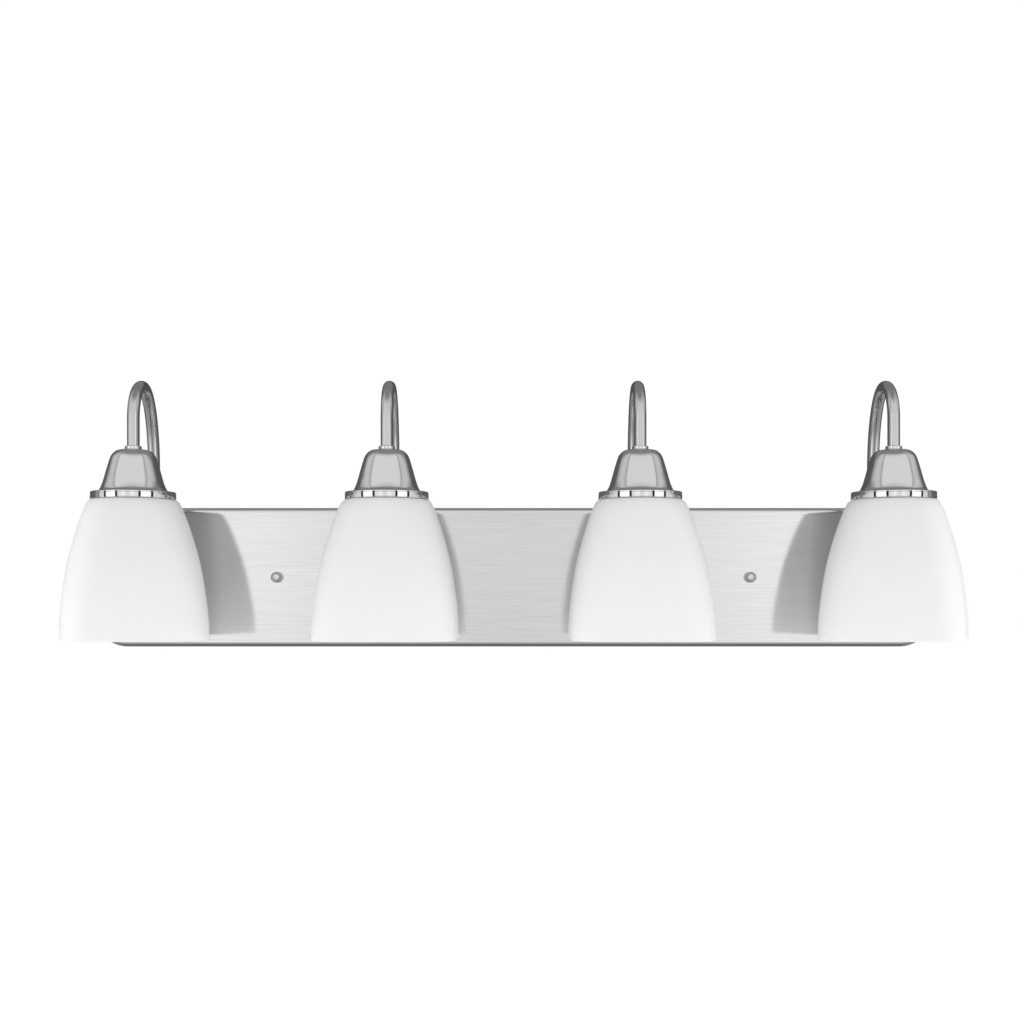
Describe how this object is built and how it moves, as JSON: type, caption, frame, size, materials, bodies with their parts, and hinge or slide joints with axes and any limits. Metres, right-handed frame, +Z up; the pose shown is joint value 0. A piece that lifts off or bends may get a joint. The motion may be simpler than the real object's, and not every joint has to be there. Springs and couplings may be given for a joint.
{
  "type": "vanity light bar",
  "caption": "Wall-mounted vanity light bar: a brushed nickel pan with gooseneck arms, bell cups and soft-square frosted glass shades opening downwards.",
  "frame": {"origin": "middle of the mounting strap's back face, in the wall plane, level with the pan's mid-height", "axes": "+X along the pan to the right, +Y into the wall, +Z up"},
  "size_m": [0.7706, 0.1747, 0.2305],
  "materials": {
    "satin_nickel": "brushed lengthwise, satin nickel plated",
    "brushed_arm": "fine brushed, bright nickel tube",
    "polished_nickel": "softly polished nickel",
    "frosted_glass": "acid-etched opal white",
    "bulb_glass": "soft white coated",
    "phenolic": "moulded black phenolic",
    "aluminium": "spun, bright",
    "brass": "stamped",
    "zinc_steel": "bright zinc plated",
    "green_screw": "green passivated screw",
    "lead_sheath": "smooth sheath",
    "nylon": "moulded nylon"
  },
  "bodies": {
    "root": {"back_plate": "satin_nickel", "mounting_strap": "zinc_steel", "stud_left": "zinc_steel", "stud_nut_left": "zinc_steel", "stud_right": "zinc_steel", "stud_nut_right": "zinc_steel", "ground_screw": "green_screw", "terminal_block": "nylon", "arm_tube_1": "brushed_arm", "arm_lock_nut_1": "zinc_steel", "arm_collar_1": "polished_nickel", "cup_1": "polished_nickel", "socket_body_1": "phenolic", "socket_shell_1": "aluminium", "centre_contact_1": "brass", "socket_lead_1": "lead_sheath", "arm_tube_2": "brushed_arm", "arm_lock_nut_2": "zinc_steel", "arm_collar_2": "polished_nickel", "cup_2": "polished_nickel", "socket_body_2": "phenolic", "socket_shell_2": "aluminium", "centre_contact_2": "brass", "socket_lead_2": "lead_sheath", "arm_tube_3": "brushed_arm", "arm_lock_nut_3": "zinc_steel", "arm_collar_3": "polished_nickel", "cup_3": "polished_nickel", "socket_body_3": "phenolic", "socket_shell_3": "aluminium", "centre_contact_3": "brass", "socket_lead_3": "lead_sheath", "arm_tube_4": "brushed_arm", "arm_lock_nut_4": "zinc_steel", "arm_collar_4": "polished_nickel", "cup_4": "polished_nickel", "socket_body_4": "phenolic", "socket_shell_4": "aluminium", "centre_contact_4": "brass", "socket_lead_4": "lead_sheath"},
    "shade_1": {"shade_1": "frosted_glass"},
    "ring_1": {"retaining_ring_1": "aluminium"},
    "bulb_1": {"bulb_glass_1": "bulb_glass", "bulb_base_1": "aluminium"},
    "shade_2": {"shade_2": "frosted_glass"},
    "ring_2": {"retaining_ring_2": "aluminium"},
    "bulb_2": {"bulb_glass_2": "bulb_glass", "bulb_base_2": "aluminium"},
    "shade_3": {"shade_3": "frosted_glass"},
    "ring_3": {"retaining_ring_3": "aluminium"},
    "bulb_3": {"bulb_glass_3": "bulb_glass", "bulb_base_3": "aluminium"},
    "shade_4": {"shade_4": "frosted_glass"},
    "ring_4": {"retaining_ring_4": "aluminium"},
    "bulb_4": {"bulb_glass_4": "bulb_glass", "bulb_base_4": "aluminium"},
    "cap_nut_left": {"cap_nut_left": "polished_nickel"},
    "cap_nut_right": {"cap_nut_right": "polished_nickel"}
  },
  "joints": [
    {"name": "shade_1_turn", "type": "hinge", "parent": "root", "child": "shade_1", "pos_m": [-0.3186, -0.108, 0], "axis": [0, 0, 1], "continuous": true},
    {"name": "ring_1_turn", "type": "hinge", "parent": "root", "child": "ring_1", "pos_m": [-0.3186, -0.108, 0.0567], "axis": [0, 0, 1], "continuous": true},
    {"name": "bulb_1_out", "type": "slide", "parent": "root", "child": "bulb_1", "axis": [0, 0, -1], "range_m": [0, 0.13]},
    {"name": "shade_2_turn", "type": "hinge", "parent": "root", "child": "shade_2", "pos_m": [-0.1062, -0.108, 0], "axis": [0, 0, 1], "continuous": true},
    {"name": "ring_2_turn", "type": "hinge", "parent": "root", "child": "ring_2", "pos_m": [-0.1062, -0.108, 0.0567], "axis": [0, 0, 1], "continuous": true},
    {"name": "bulb_2_out", "type": "slide", "parent": "root", "child": "bulb_2", "axis": [0, 0, -1], "range_m": [0, 0.13]},
    {"name": "shade_3_turn", "type": "hinge", "parent": "root", "child": "shade_3", "pos_m": [0.1062, -0.108, 0], "axis": [0, 0, 1], "continuous": true},
    {"name": "ring_3_turn", "type": "hinge", "parent": "root", "child": "ring_3", "pos_m": [0.1062, -0.108, 0.0567], "axis": [0, 0, 1], "continuous": true},
    {"name": "bulb_3_out", "type": "slide", "parent": "root", "child": "bulb_3", "axis": [0, 0, -1], "range_m": [0, 0.13]},
    {"name": "shade_4_turn", "type": "hinge", "parent": "root", "child": "shade_4", "pos_m": [0.3186, -0.108, 0], "axis": [0, 0, 1], "continuous": true},
    {"name": "ring_4_turn", "type": "hinge", "parent": "root", "child": "ring_4", "pos_m": [0.3186, -0.108, 0.0567], "axis": [0, 0, 1], "continuous": true},
    {"name": "bulb_4_out", "type": "slide", "parent": "root", "child": "bulb_4", "axis": [0, 0, -1], "range_m": [0, 0.13]},
    {"name": "cap_nut_left_off", "type": "slide", "parent": "root", "child": "cap_nut_left", "axis": [0, -1, 0], "range_m": [0, 0.02]},
    {"name": "cap_nut_right_off", "type": "slide", "parent": "root", "child": "cap_nut_right", "axis": [0, -1, 0], "range_m": [0, 0.02]}
  ]
}
